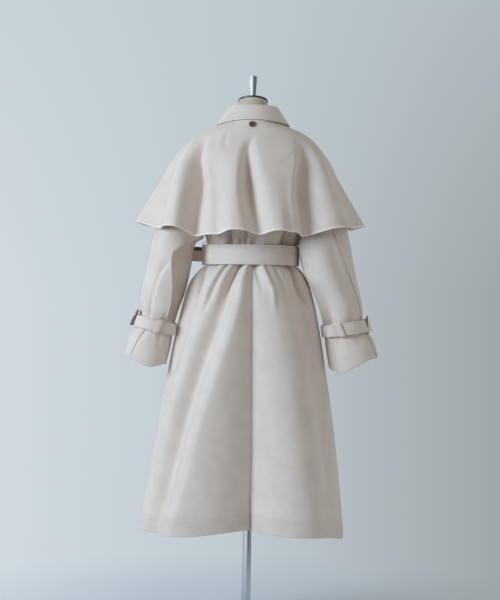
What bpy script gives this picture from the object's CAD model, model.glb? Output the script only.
"""Looks of the belted balmacaan coat with a shoulder cape, on its dress form.

Metres, +Z up. The coat's back faces +Y and the wearer's left is +X.
A turn is an angle in degrees round the body: 0 at the centre back, 90 at the wearer's left side.
"""

import math
from collections import namedtuple

import bpy
import numpy as np
from mathutils import Matrix, Vector


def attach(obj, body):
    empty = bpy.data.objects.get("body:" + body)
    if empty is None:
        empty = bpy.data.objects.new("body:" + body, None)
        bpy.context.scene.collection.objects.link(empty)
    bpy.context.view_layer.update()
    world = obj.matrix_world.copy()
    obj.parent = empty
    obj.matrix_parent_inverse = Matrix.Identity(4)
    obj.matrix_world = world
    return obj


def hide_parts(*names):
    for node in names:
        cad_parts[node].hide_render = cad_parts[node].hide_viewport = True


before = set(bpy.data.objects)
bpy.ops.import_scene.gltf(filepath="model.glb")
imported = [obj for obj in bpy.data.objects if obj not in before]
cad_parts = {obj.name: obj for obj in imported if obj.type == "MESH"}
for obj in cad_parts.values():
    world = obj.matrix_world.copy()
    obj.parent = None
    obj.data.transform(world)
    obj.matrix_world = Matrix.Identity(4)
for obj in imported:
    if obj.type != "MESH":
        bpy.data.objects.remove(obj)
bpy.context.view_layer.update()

# The wearer's sides and the way that X grows on each
SIDES = (("left", 1), ("right", -1))

# Rows and columns of the meshes, with further columns at these shares of a width from each edge
EDGE = (0.003, 0.007, 0.012, 0.020, 0.032)
Grid = namedtuple("Grid", "rows columns")
BACK_COLUMNS = 150
FRONT_COLUMNS = 84
VENT_GRID = Grid(60, 16)
ARMHOLE_ROWS = 11
SLEEVE_ROWS = ((0.0, 7.6, 86), (7.65, 10.2, 60), (10.3, 11.0, 14))
SLEEVE_COLUMNS = {"back": 60, "front": 110}
STRAP_ROWS = 9
STRAP_COLUMNS = ((0.0, 0.93, 190), (0.935, 1.0, 24))
KEEPER_GRID = Grid(60, 9)
CAPE_GRID = Grid(96, 300)
COLLAR_GRID = Grid(58, 170)
BELT_GRID = Grid(13, 360)
BELT_TAIL_COLUMNS = 60
BELT_LOOP_GRID = Grid(70, 9)
BUTTON_STEPS = 64
FORM_GRID = Grid(120, 144)

# Cloth sizes
CLOTH = 0.002
SEAM_GAP = 0.0004
SEAM_DIP = 0.0006
SEAM_WIDTH = 0.0022
SLEEVE_SEAM_DIP = 0.0014
SLEEVE_SEAM_LIFT = 0.0008
SLEEVE_SEAM_WIDTH = 0.0032
LEFT_SEAM_SHOWN = 0.15
LEFT_SEAM_SECTIONS = (8.3, 9.3)
CUFF_SEAM_DIP = 0.0026
CUFF_SEAM_SECTIONS = (9.2, 9.6)
STITCH_LENGTH = 0.0034
STITCH_STEP = 0.0046
STITCH_RADIUS = 0.00034
STITCH_LIFT = 0.0001
STITCH_SIDES = 5
STITCH_STOPS = (0.0, 0.22, 0.5, 0.78, 1.0)
STITCH_HEIGHTS = (-0.7, 0.35, 0.6, 0.35, -0.7)
EDGE_LAYER = 0.0006
EDGE_DRAW = 0.0005

# Coat body
HEM_Z = 0.285
HEM_CENTRE_RISE = 0.010
HEM_CENTRE_TURN = 34.0
HEM_LEFT_RISE = 0.003
HEM_RIGHT_DROP = 0.026
HEM_SIDE_POWER = 6.0
HEM_EASE = 0.2
HEM_TURN_UP = 0.046
HEM_FOLD = 0.002
HEM_STITCH_WIDTH = 0.0012
HEM_SHADE = 0.055
VENT_OPEN_Z = 0.42
VENT_OPEN_HALF = 0.0030
VENT_TOP_Z = 0.70
VENT_STRIP_HALF = 0.028
VENT_STRIP_UP = 0.001
VENT_STRIP_GAP = 0.001
BELT_BOTTOM_Z = 1.004
BELT_TOP_Z = 1.056
BELT_HEIGHT = BELT_TOP_Z - BELT_BOTTOM_Z
UNDERARM_Z = 1.125
NECK_Z = 1.372
UNDERARM_X = 0.150
NECK_SIDE_X = 0.070
RAGLAN_GAP = 0.0018
ARMHOLE_TOP_SINE = 0.45
LAP_TURN = 9.0
LAP_START = 156.0
LAP_OUT = 0.0045
CENTRE_SEAM_Z = (HEM_Z, 0.420, 0.985, 1.090, 1.200)
CENTRE_SEAM_TURN = (-6.7, -4.4, -2.7, -8.0, 0.0)
HEM_ROWS = (0.0, 0.0012, 0.003, 0.006, 0.012, 0.020, 0.030, 0.040, 0.0445, HEM_TURN_UP, 0.0475, 0.052)
BODY_Z = np.concatenate((HEM_Z + np.array(HEM_ROWS), np.arange(0.340, 0.940, 0.008),
                         np.arange(0.940, 1.14, 0.004), np.arange(1.140, NECK_Z, 0.010), (NECK_Z,)))

Ring = namedtuple("Ring", "z half_width back_depth front_depth shift", defaults=(0.0,))
BODY_RINGS = (
    Ring(0.27, 0.279, 0.2, 0.195, 0.016),
    Ring(0.342, 0.27, 0.195, 0.19, 0.0135),
    Ring(0.43, 0.2575, 0.188, 0.183, 0.01),
    Ring(0.518, 0.244, 0.18, 0.175, 0.007),
    Ring(0.641, 0.2255, 0.167, 0.163, 0.006),
    Ring(0.727, 0.2105, 0.157, 0.154, 0.0055),
    Ring(0.826, 0.1935, 0.145, 0.144, 0.005),
    Ring(0.908, 0.1755, 0.134, 0.134, 0.005),
    Ring(0.952, 0.162, 0.125, 0.126, 0.0045),
    Ring(0.98, 0.145, 0.115, 0.117, 0.0025),
    Ring(0.994, 0.1325, 0.105, 0.106, 0.001),
    Ring(1.002, 0.1225, 0.099, 0.099),
    Ring(1.032, 0.119, 0.097, 0.097),
    Ring(1.063, 0.1195, 0.098, 0.098),
    Ring(1.09, 0.13, 0.11, 0.115),
    Ring(1.125, 0.15, 0.119, 0.126),
    Ring(1.2, 0.162, 0.122, 0.13),
    Ring(1.28, 0.152, 0.109, 0.113),
    Ring(1.34, 0.113, 0.088, 0.087),
    Ring(1.372, 0.083, 0.075, 0.074),
)

# Folds in order round the body. Each crest or valley has its turns and its rises at the same levels;
# a narrow one is tighter than its neighbours, and one of 1 is a crease
Fold = namedtuple("Fold", "turns rises narrow", defaults=(0.0,))
SKIRT_LEVELS = (0.280, 0.635, 0.908, 0.990)
SKIRT_FOLDS = (
    Fold((-168, -168, -168, -168), (0.002, 0.002, 0.001, 0.001)),
    Fold((-154, -153, -152, -152), (-0.008, -0.006, -0.004, -0.004)),
    Fold((-138, -137, -136, -136), (0.014, 0.009, 0.005, 0.004)),
    Fold((-122, -122, -122, -122), (-0.01, -0.007, -0.005, -0.004)),
    Fold((-100, -100, -100, -100), (0.004, 0.004, 0.003, 0.003)),
    Fold((-82, -77, -71, -70), (0, 0.002, 0.005, 0.005)),
    Fold((-62, -60, -55, -57), (-0.002, -0.005, -0.008, -0.008), 0.3),
    Fold((-43, -36, -25, -18), (0.016, 0.01, 0.007, 0.007)),
    Fold((-6.4, -4.2, -3.2, -3.6), (-0.085, -0.048, -0.013, -0.007), 1),
    Fold((39, 25, 7, 3), (0.027, 0.023, 0.011, 0.006)),
    Fold((53, 43, 20, 12.5), (0, -0.021, -0.015, -0.01), 0.3),
    Fold((65, 58, 39, 31.5), (0.014, 0.011, 0.007, 0.006)),
    Fold((84, 75, 57, 54), (0, -0.003, -0.008, -0.008), 0.3),
    Fold((98, 89, 74, 70), (0.004, 0.004, 0.004, 0.004)),
    Fold((116, 107, 100, 98), (-0.01, -0.007, -0.005, -0.004)),
    Fold((136, 130, 125, 124), (0.014, 0.009, 0.005, 0.004)),
    Fold((152, 149, 146, 146), (-0.008, -0.006, -0.004, -0.004)),
    Fold((167, 166, 166, 166), (0.002, 0.002, 0.001, 0.001)),
)
GATHER_FADE = 0.11

# Slight unevenness of cloth: its rise, the radius that turns are measured on, its waves' length and a seed
Waver = namedtuple("Waver", "rise radius length seed")
WAVES = 5
SKIRT_WAVER = Waver(0.0007, 0.20, 0.09, 0.4)
SKIRT_WAVER_END = (0.96, 1.0)
CAPE_WAVER = Waver(0.0006, 0.25, 0.08, 1.3)
CAPE_WAVER_START = (0.1, 0.3)
BELT_WAVER = Waver(0.0005, 0.12, 0.10, 2.2)

# Creases by hand: places (turn, height), half width and rise; a rise below zero is a trough
Crease = namedtuple("Crease", "path width rise")
CREASE_RADIUS = 0.15
CREASE_FLANK = 1.25
CREASE_FADE_IN = (0.0, 0.3)
CREASE_FADE_OUT = (0.55, 1.0)
BODY_CREASES = (
    Crease(((78, 1.055), (67, 0.995), (56, 0.956), (55, 0.92), (58, 0.87)), 0.006, -0.016),
    Crease(((60, 1.055), (53, 0.995), (46, 0.956), (45, 0.915)), 0.008, 0.004),
    Crease(((30, 1.055), (31, 1), (32.5, 0.964), (36, 0.915), (41, 0.85)), 0.006, -0.015),
    Crease(((21, 1.055), (23, 0.998), (26, 0.955), (29, 0.905), (33, 0.85)), 0.007, 0.005),
    Crease(((12, 1.055), (14, 0.998), (19, 0.948), (22.5, 0.89)), 0.005, -0.013),
    Crease(((4, 1.055), (5, 0.998), (8, 0.955), (9, 0.91)), 0.007, 0.005),
    Crease(((-10, 1.055), (-14.6, 0.996), (-22, 0.936), (-22, 0.897), (-23, 0.85)), 0.007, 0.007),
    Crease(((-5, 1.055), (-7, 0.995), (-12, 0.95), (-13, 0.91)), 0.007, -0.007),
    Crease(((-28, 1.055), (-31, 0.988), (-34, 0.945), (-36, 0.88)), 0.009, -0.004),
    Crease(((-44, 1.055), (-44, 0.99), (-43, 0.945), (-46, 0.89)), 0.009, 0.003),
    Crease(((-66, 1.055), (-60, 0.995), (-54, 0.949), (-62, 0.899), (-66, 0.86)), 0.006, -0.015),
    Crease(((104, 1.055), (105, 0.99), (106, 0.95), (108, 0.88)), 0.008, -0.008),
    Crease(((131, 1.055), (132, 0.99), (133, 0.95), (136, 0.89)), 0.008, -0.008),
    Crease(((152, 1.055), (153, 0.99), (155, 0.94)), 0.007, -0.006),
    Crease(((-104, 1.055), (-106, 0.99), (-107, 0.95), (-109, 0.87)), 0.008, -0.008),
    Crease(((-126, 1.055), (-128, 0.99), (-130, 0.95), (-134, 0.88)), 0.008, -0.007),
    Crease(((-150, 1.055), (-152, 0.99), (-155, 0.93)), 0.007, -0.006),
    Crease(((27.5, 1.03), (27.5, 1.07), (28, 1.13)), 0.008, -0.018),
    Crease(((17, 1.03), (17, 1.07), (17, 1.13)), 0.009, 0.004),
    Crease(((37, 1.03), (37, 1.07), (38, 1.13)), 0.009, 0.004),
    Crease(((6.5, 1.03), (6.4, 1.07), (6, 1.12)), 0.007, -0.017),
    Crease(((-14, 1.03), (-14, 1.07), (-14, 1.13)), 0.01, 0.003),
    Crease(((-36, 1.03), (-36, 1.07), (-35, 1.13)), 0.01, 0.004),
    Crease(((-49, 1.03), (-48, 1.07), (-46, 1.13)), 0.008, -0.018),
    Crease(((66, 1.03), (65, 1.07), (62, 1.125)), 0.008, -0.008),
    Crease(((112, 1.03), (112, 1.08), (111, 1.14)), 0.009, -0.008),
    Crease(((138, 1.03), (137, 1.08), (136, 1.13)), 0.008, -0.007),
    Crease(((-108, 1.03), (-109, 1.08), (-110, 1.14)), 0.009, -0.008),
    Crease(((-136, 1.03), (-135, 1.08), (-134, 1.13)), 0.008, -0.007),
    Crease(((-88, 1.045), (-88, 1.075), (-89, 1.1), (-90, 1.14)), 0.022, 0.012),
)

# Sleeves: over-arm and under-arm lines, the middle's place in Y, half depth, and the seams' angles
Section = namedtuple("Section", "over_x over_z under_x under_z mid_y half_depth over_seam under_seam")
SLEEVE_LEFT = (
    Section(0.112, 1.353, 0.156, 1.124, 0, 0.098, 4, 176),
    Section(0.158, 1.335, 0.155, 1.117, 0.004, 0.096, 12, 168),
    Section(0.199, 1.276, 0.153, 1.106, 0.01, 0.089, 22, 160),
    Section(0.227, 1.205, 0.14, 1.0915, 0.015, 0.082, 32, 152),
    Section(0.248, 1.14, 0.129, 1.0765, 0.019, 0.0785, 44, 147),
    Section(0.267, 1.072, 0.1525, 1.0555, 0.022, 0.075, 52, 143),
    Section(0.2805, 1.004, 0.164, 0.985, 0.024, 0.0715, 56, 140),
    Section(0.293, 0.948, 0.178, 0.925, 0.024, 0.065, 58, 138),
    Section(0.301, 0.895, 0.1965, 0.872, 0.023, 0.058, 61, 136),
    Section(0.3045, 0.851, 0.206, 0.828, 0.022, 0.054, 62, 138),
    Section(0.327, 0.807, 0.2145, 0.784, 0.02, 0.055, 58, 144),
    Section(0.34, 0.757, 0.227, 0.73, 0.018, 0.058, 44, 150),
)
SLEEVE_RIGHT = (
    Section(0.112, 1.353, 0.156, 1.124, 0, 0.098, 4, 176),
    Section(0.158, 1.335, 0.155, 1.117, 0.004, 0.096, 16, 168),
    Section(0.199, 1.276, 0.152, 1.106, 0.01, 0.089, 36, 160),
    Section(0.227, 1.205, 0.148, 1.093, 0.016, 0.083, 56, 152),
    Section(0.252, 1.135, 0.135, 1.078, 0.024, 0.0845, 70, 147),
    Section(0.27, 1.068, 0.1305, 1.05, 0.03, 0.086, 60, 143),
    Section(0.2815, 1.004, 0.1455, 0.982, 0.035, 0.079, 48, 140),
    Section(0.2945, 0.947, 0.1755, 0.922, 0.037, 0.067, 40, 138),
    Section(0.3065, 0.895, 0.195, 0.868, 0.033, 0.061, 32, 137),
    Section(0.313, 0.843, 0.2005, 0.8285, 0.024, 0.058, 28, 136),
    Section(0.3385, 0.803, 0.209, 0.779, 0.022, 0.059, 30, 136),
    Section(0.3535, 0.758, 0.218, 0.729, 0.02, 0.063, 24, 136),
)
# Sleeve folds as creases of (section, angle): the angle is from the over-arm line by the back, and the
# scale is the angle that counts as far as a section does
SECTION_SCALE = 60.0
FRONT_FOLDS = (
    Crease(((3, 250), (5, 262), (8.3, 266)), 26, -0.007),
    Crease(((4, 310), (6.5, 318), (8.2, 316)), 22, 0.005),
)
LEFT_FOLDS = (
    Crease(((3.5, 60), (5.5, 66), (8.4, 70)), 24, 0.004),
    Crease(((4, 30), (6, 36), (8.2, 40)), 16, -0.005),
    *FRONT_FOLDS,
)
RIGHT_FOLDS = (
    Crease(((3.5, 132), (5, 120), (6.2, 100), (8.2, 92)), 24, 0.008),
    Crease(((3.5, 88), (5, 74), (8.2, 60)), 18, -0.006),
    *FRONT_FOLDS,
)
# Sharp pleat down the back of the left sleeve: its edge's angle by section, the rise up to the edge and
# the depth past it, the lengths of both slopes, and the sections and angles between which it fades
PLEAT_SECTIONS = (4.6, 5.1, 5.6, 6.3, 7.0, 7.7, 9.0)
PLEAT_ANGLES = (150.0, 125.0, 97.0, 105.0, 115.0, 122.0, 124.0)
PLEAT_RISE = 0.009
PLEAT_DEPTH = 0.034
PLEAT_SLOPE = 0.020
PLEAT_FALL = 0.0035
PLEAT_START = (4.5, 5.2)
PLEAT_END = (8.1, 8.7)
PLEAT_BACK = (148.0, 188.0)
SLEEVE_RADIUS = 0.056
# Soft lap down the left sleeve: the cloth sinks towards its line and steps up past it
SLEEVE_LAP_SECTIONS = (5.6, 6.2, 7.0, 7.8, 8.9)
SLEEVE_LAP_ANGLES = (97.0, 76.0, 68.0, 64.5, 57.5)
SLEEVE_LAP_DEPTH = 0.009
SLEEVE_LAP_SLOPE = 0.020
SLEEVE_LAP_STEP = 0.012
SLEEVE_LAP_START = (5.5, 6.3)
SLEEVE_LAP_END = (8.4, 8.9)
# Hollow beside the right sleeve's inner edge: a steep drop, then a long rise to the back
HOLLOW_ANGLE = 170.0
HOLLOW_DEPTH = 0.026
HOLLOW_FALL = 0.006
HOLLOW_LENGTH = 0.040
HOLLOW_START = (6.2, 7.6)
HOLLOW_END = (8.5, 9.2)
UNDER_CAPE_IN = 0.017
UNDER_CAPE_SECTIONS = (2.4, 3.6)
# Gathers that the strap draws in, above and below it, and the sections over which they spread
Gather = namedtuple("Gather", "angle width depth")
STRAP_GATHERS = (
    Gather(20, 9, 0.003), Gather(66, 10, 0.004), Gather(118, 9, 0.004), Gather(160, 10, 0.003),
    Gather(205, 11, 0.004), Gather(248, 10, 0.003), Gather(290, 11, 0.004), Gather(334, 9, 0.003),
)
GATHER_START = 0.12
GATHER_MIDDLE = 0.15
GATHER_SPREAD = 0.55
# Cuff strap: it laps over its own start and ends in a slanted tip
STRAP_SECTION = 9.0
STRAP_HALF_SECTIONS = 0.34
STRAP_START = -4.0
STRAP_LAP_END = {1: 522.0, -1: 500.0}
STRAP_TIP_SLANT = 16.0
STRAP_TIP_FROM = 0.90
STRAP_LIFT_FROM = 0.93
STRAP_LAYER = 0.0034
STRAP_STEP_ANGLES = (318.0, 352.0)
STRAP_GAP = 0.0026
STRAP_DRAW = 0.004
STRAP_DRAW_SPREAD = 0.5
STRAP_TIP_LIFT = 0.0035
STRAP_SAG = 0.004
STRAP_BULGE = {1: 0.003, -1: 0.006}
STRAP_BULGE_SPREAD = 13.0
STRAP_SAG_SPREAD = 0.8
# Droop of the cuff's hem at the back, by side: its depth and middle angle, how wide it spreads, and the
# sections over which it grows
CUFF_DROOP = {1: 0.016, -1: 0.020}
CUFF_DROOP_ANGLE = {1: 95.0, -1: 118.0}
CUFF_DROOP_SPREAD = 70.0
CUFF_DROOP_SECTIONS = (10.0, 11.0)
STRAP_WALL = 0.0024
STRAP_EDGE = (0.02, 0.06, 0.10)
STRAP_CROWN = 0.0005
STRAP_GROOVE = 0.0004
STRAP_GROOVES = (0.10, 0.90)
STRAP_GROOVE_WIDTH = 0.02
LOOP_WALL = 0.0016
CLEAR = 0.0008
KEEPER_ANGLE = {1: 100.0, -1: 103.0}
KEEPER_HALF_ANGLE = 6.2
KEEPER_LEAN = 2.8
KEEPER_REACH = 1.28
KEEPER_BEND = 0.8
KEEPER_LIFT = 0.0030
KEEPER_CROWN = 0.0004

# Cape
CAPE_RINGS = (
    Ring(1.397, 0.084, 0.08, 0.076),
    Ring(1.384, 0.095, 0.085, 0.0815),
    Ring(1.367, 0.133, 0.0945, 0.092),
    Ring(1.348, 0.1625, 0.104, 0.102),
    Ring(1.32, 0.189, 0.117, 0.116, 0.0015),
    Ring(1.277, 0.218, 0.135, 0.135, 0.0025),
    Ring(1.238, 0.235, 0.149, 0.149, 0.004),
    Ring(1.186, 0.261, 0.165, 0.165, 0.004),
    Ring(1.125, 0.291, 0.18, 0.18, 0.004),
    Ring(1.086, 0.307, 0.188, 0.188, 0.004),
)
CAPE_HEM_SIDE_RISE = 0.029
CAPE_HEM_LEFT_RISE = 0.0025
CAPE_HEM_SIDE_POWER = 3.0
CAPE_HEM_FOLD_RISE = 0.34
CAPE_EDGE_TURN = 174.0
CAPE_SEAM_TURN = 96.0
CAPE_ROW_POWER = 1.15
CAPE_LEVELS = (1.086, 1.200, 1.300, 1.348)
CAPE_FOLDS = (
    Fold((-164, -164, -163, -163), (0.016, 0.009, 0.004, 0)),
    Fold((-146, -146, -146, -146), (-0.02, -0.012, -0.005, 0), 0.4),
    Fold((-128, -128, -128, -128), (0.018, 0.011, 0.004, 0)),
    Fold((-106, -107, -108, -108), (-0.014, -0.008, -0.003, 0), 0.4),
    Fold((-84, -84, -86, -87), (0.006, 0.004, 0.001, 0)),
    Fold((-68, -70, -73, -76), (-0.004, -0.002, 0, 0)),
    Fold((-50, -54, -60, -64), (0.017, 0.019, 0.009, 0)),
    Fold((-29.6, -33.5, -42.5, -46), (-0.034, -0.034, -0.011, 0), 0.35),
    Fold((-21.5, -23.5, -32, -37), (0, 0.008, 0.005, 0)),
    Fold((-15.4, -14, -8, -5), (0.013, 0.013, 0.006, 0)),
    Fold((-5, 0.8, 2.8, -0.5), (-0.019, -0.033, -0.011, 0), 0.5),
    Fold((8, 10.2, 11.6, 12.5), (0.016, 0.016, 0.008, 0)),
    Fold((17, 22, 32, 37), (-0.02, 0.004, 0.003, 0)),
    Fold((31, 34.5, 42, 45.5), (-0.042, -0.043, -0.015, 0), 0.3),
    Fold((39.8, 46, 54.5, 59), (0.021, 0.024, 0.011, 0)),
    Fold((57, 62, 68, 70), (-0.019, -0.007, -0.002, 0)),
    Fold((82, 83, 84, 84), (0.004, 0.003, 0.001, 0)),
    Fold((104, 105, 106, 106), (-0.014, -0.008, -0.003, 0), 0.4),
    Fold((126, 126, 126, 126), (0.018, 0.011, 0.004, 0)),
    Fold((145, 145, 145, 145), (-0.02, -0.012, -0.005, 0), 0.4),
    Fold((162, 162, 162, 162), (0.016, 0.009, 0.004, 0)),
)
CAPE_CREASES = (
    Crease(((29, 1.372), (26, 1.355), (22.4, 1.323), (14, 1.296), (11, 1.288)), 0.005, -0.0018),
    Crease(((-42, 1.325), (-37, 1.3115), (-28, 1.288), (-19, 1.264), (-15, 1.255)), 0.003, -0.0012),
    Crease(((32, 1.365), (29.5, 1.345), (27, 1.318), (20, 1.296)), 0.006, 0.0014),
)
CAPE_LENGTH = 0.33
CAPE_NECK_RADIUS = 0.09
CAPE_FLARE = 0.2
CAPE_STITCH = 0.007
CAPE_STITCH_WIDTH = 0.0014
CAPE_NECK_ROWS = (0.003, 0.007, 0.011, 0.015, CAPE_STITCH / CAPE_LENGTH, 0.0255, 0.034)
CAPE_HEM_ROWS = (0.006, 0.012)
CAPE_ROLL = 0.0018
CAPE_ROLL_WIDTH = 0.0045
CAPE_EDGE_PALE = 0.22
CAPE_PALE_START = 0.0015

# Button on the cape, under the collar
BUTTON_Z = 1.3785
BUTTON_OUT = 0.0022
BUTTON_STEP = 0.01
BUTTON_CORNER = 0.0008
BUTTON_PROFILE = ((0.0, 0.0), (0.008, 0.0), (0.009, 0.0012), (0.009, 0.0030), (0.0078, 0.0038),
                  (0.0064, 0.0028), (0.0, 0.0024))

# Collar, from the foot of its stand over the roll to the edge of the fall
COLLAR_PROFILE = (
    Ring(1.377, 0.07, 0.0655, 0.068),
    Ring(1.404, 0.0675, 0.063, 0.066),
    Ring(1.427, 0.064, 0.06, 0.064),
    Ring(1.4345, 0.0645, 0.061, 0.065),
    Ring(1.437, 0.067, 0.0645, 0.0685, -0.001),
    Ring(1.4335, 0.0705, 0.068, 0.0725, -0.0015),
    Ring(1.41, 0.0865, 0.08, 0.086, -0.0015),
    Ring(1.388, 0.101, 0.0925, 0.098, -0.002),
)
COLLAR_END_TURN = 170.0
COLLAR_POINT_DROP = 0.016
COLLAR_POINT_OUT = 0.005
COLLAR_POINT_TURN = 120.0
COLLAR_POINT_FROM = 0.72
COLLAR_BACK_RISE = 0.008
COLLAR_BACK_IN = 0.0045
COLLAR_BACK_TURN = 75.0
COLLAR_BACK_FROM = 0.80
COLLAR_WALL = 0.0024
COLLAR_FOOT_ROWS = (0.008, 0.016)
COLLAR_EDGE_ROWS = (0.012, 0.024, 0.036, 0.048)
COLLAR_END_COLUMNS = (0.004, 0.008)

# Belt
BELT_HALF_WIDTH = 0.1310
BELT_HALF_DEPTH = 0.1115
BELT_WALL = 0.003
BELT_LAP_TURN = 34.0
BELT_LAP_OUT = 0.0045
BELT_STEP_TURNS = (312.0, 348.0)
BELT_TAIL = 0.105
BELT_TAIL_TURNED = 0.36
BELT_TAIL_PALE = 0.32
BELT_TAIL_UPPER = (0.0, -0.036, -0.014)
BELT_TAIL_LOWER = (0.0, 0.010, 0.010)
BELT_STITCH = 0.0045
BELT_EDGE = (0.012, 0.035, BELT_STITCH / BELT_HEIGHT, 0.10)
BELT_CROWN = 0.0006
BELT_CROWN_WIDTH = 0.012
BELT_GROOVE = 0.0004
BELT_GROOVE_WIDTH = 0.0011
BELT_LOOP_TURNS = {"belt_loop_left": 82.0, "belt_loop_right": -82.0}
BELT_LOOP_HALF_TURN = 1.6
BELT_LOOP_BELOW = 0.0035
BELT_LOOP_ABOVE = 0.0120
BELT_LOOP_BEND = 0.85
BELT_LOOP_OUT = 0.0008
BELT_LOOP_CROWN = 0.0003

# Cuff buckles: how each is turned, scaled and moved from its solid's place to lie against its strap
BuckleTurn = namedtuple("BuckleTurn", "axis turn size shift")
BUCKLE_TURNS = {
    "cuff_buckle_left": BuckleTurn("Y", -10.0, 0.90, (-0.004, 0.0, -0.005)),
    "cuff_buckle_right": BuckleTurn("Z", 18.0, 0.88, (0.002, -0.020, -0.0095)),
}
BUCKLE_SHARP_ANGLE = math.radians(60.0)
BUCKLE_WELD = 0.00005

# Dress form and stand; the profiles are radius and height
FORM_RADIUS = 0.13
SHARP_ANGLE = math.radians(50.0)
FORM_RINGS = (
    Ring(0.74, 0.12, 0.092, 0.09),
    Ring(0.748, 0.14, 0.106, 0.102),
    Ring(0.77, 0.153, 0.114, 0.108),
    Ring(0.83, 0.16, 0.116, 0.112),
    Ring(0.9, 0.149, 0.106, 0.106),
    Ring(0.96, 0.127, 0.091, 0.094),
    Ring(1.03, 0.107, 0.08, 0.084),
    Ring(1.1, 0.114, 0.088, 0.094),
    Ring(1.18, 0.13, 0.101, 0.112),
    Ring(1.25, 0.136, 0.1, 0.104),
    Ring(1.295, 0.138, 0.086, 0.086),
    Ring(1.322, 0.125, 0.068, 0.068),
    Ring(1.34, 0.094, 0.058, 0.058),
    Ring(1.358, 0.066, 0.052, 0.052),
    Ring(1.385, 0.053, 0.048, 0.049),
    Ring(1.42, 0.046, 0.044, 0.045),
    Ring(1.451, 0.04, 0.04, 0.04),
)
NECK_TILT = math.radians(13.0)
NECK_TILT_FROM_Z = 1.385
CAP_Z = 1.4515
FINIAL_Z = 1.4595
CAP_PROFILE = ((0.0, 0.0), (0.0415, 0.0), (0.0415, 0.005), (0.0, 0.005))
FINIAL_PROFILE = ((0.0, 0.0), (0.0072, 0.0), (0.0104, 0.0545), (0.0099, 0.0560), (0.0099, 0.0575),
                  (0.0106, 0.0590), (0.0106, 0.0635), (0.0, 0.0635))
POLE_PROFILE = ((0.0, 0.0303), (0.0125, 0.0303), (0.0125, 0.7394), (0.0, 0.7394))
BASE_PROFILE = ((0.0, 0.0), (0.178, 0.0), (0.180, 0.002), (0.180, 0.007), (0.176, 0.010), (0.060, 0.016),
                (0.026, 0.022), (0.022, 0.030), (0.0, 0.030))

# Camera
SENSOR_WIDTH = 36.0
FOCAL_PIXELS = 1381.8
PHOTO_HEIGHT_PIXELS = 600.0
CAMERA_PLACE = (0.0, 3.8, 0.908)
CAMERA_ROLL = math.radians(0.8)


# Numbers and curves

def smooth(low, high, value):
    """Smooth rise from 0 at low to 1 at high."""
    part = np.clip((np.asarray(value, float) - low) / (high - low), 0.0, 1.0)
    return part * part * (3.0 - 2.0 * part)


def between(start, end, value):
    """Smooth rise from 0 to 1 over the start's two values, and back to 0 over the end's."""
    return smooth(*start, value) * (1.0 - smooth(*end, value))


def bell(away, width):
    return np.exp(-(away / width) ** 2)


def past_line(at, angle):
    """Degrees from a line to an angle, between -180 and 180."""
    return (angle - at + 180.0) % 360.0 - 180.0


def places_of(x, y, z):
    return np.stack(np.broadcast_arrays(x, y, z), -1)


def unit(vectors):
    return vectors / np.maximum(np.linalg.norm(vectors, axis=-1, keepdims=True), 1e-12)


def measure(grid, axis):
    """Lengths along the lines of a grid of places, from their first places."""
    steps = np.linalg.norm(np.diff(grid, axis=axis), axis=-1)
    return np.insert(np.cumsum(steps, axis), 0, 0.0, axis)


def curve(keys, values, at):
    """Smooth curve through a table's values, with slopes that never overshoot."""
    keys = np.asarray(keys, float)
    values = np.asarray(values, float)
    gaps = np.diff(keys)
    rises = np.diff(values) / gaps
    slopes = np.concatenate(([rises[0]], 0.5 * (rises[1:] + rises[:-1]), [rises[-1]]))
    for i in range(1, len(slopes) - 1):
        limit = 3.0 * min(abs(rises[i - 1]), abs(rises[i]))
        turns = rises[i - 1] * rises[i] <= 0.0
        slopes[i] = 0.0 if turns else math.copysign(min(abs(slopes[i]), limit), slopes[i])
    at = np.clip(at, keys[0], keys[-1])
    i = np.clip(np.searchsorted(keys, at, side="right") - 1, 0, len(gaps) - 1)
    f = (at - keys[i]) / gaps[i]
    start = values[i] * (1.0 + 2.0 * f) * (1.0 - f) ** 2 + slopes[i] * gaps[i] * f * (1.0 - f) ** 2
    end = values[i + 1] * f * f * (3.0 - 2.0 * f) + slopes[i + 1] * gaps[i] * f * f * (f - 1.0)
    return start + end


def rings(table, z):
    """Half width, back depth, front depth and shift of a table's rings at a height."""
    rows = sorted(table, key=lambda row: row.z)
    columns = list(zip(*rows))
    return [curve(columns[0], column, z) for column in columns[1:]]


def on_ring(sizes, turn, z, out=0.0):
    """Places on rings of the given sizes, moved out along the rings' own normals."""
    half_width, back_depth, front_depth, shift = sizes
    sine = np.sin(np.radians(turn))
    cosine = np.cos(np.radians(turn))
    depth = np.where(cosine > 0.0, back_depth, front_depth)
    long = np.hypot(depth * sine, half_width * cosine)
    x = shift + half_width * sine + out * depth * sine / long
    y = depth * cosine + out * half_width * cosine / long
    return places_of(x, y, z)


def fold_rise(folds, levels, turn, z):
    """How far folds move a surface out."""
    lines = [(curve(levels, f.turns, z), curve(levels, f.rises, z), f.narrow) for f in folds]
    lines.insert(0, (lines[-1][0] - 360.0, *lines[-1][1:]))
    lines.append((lines[1][0] + 360.0, *lines[1][1:]))
    turn = (turn - lines[0][0]) % 360.0 + lines[0][0]
    total = np.zeros(np.shape(turn))
    for (turn_a, out_a, narrow_a), (turn_b, out_b, narrow_b) in zip(lines, lines[1:]):
        f = (turn - turn_a) / (turn_b - turn_a)
        here = (f >= 0.0) & (f < 1.0)
        f = np.clip(f, 0.0, 1.0)
        eased_f = (1.0 - (1.0 - f) ** (1.0 + narrow_a)) ** (1.0 + narrow_b)
        ease = 0.5 - 0.5 * np.cos(np.pi * eased_f)
        if narrow_a == 1.0:
            ease = 1.0 - (1.0 - f) ** CREASE_FLANK
        if narrow_b == 1.0:
            ease = 1.0 - np.cos(0.5 * np.pi * f)
        total = np.where(here, out_a + (out_b - out_a) * ease, total)
    return total


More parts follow.
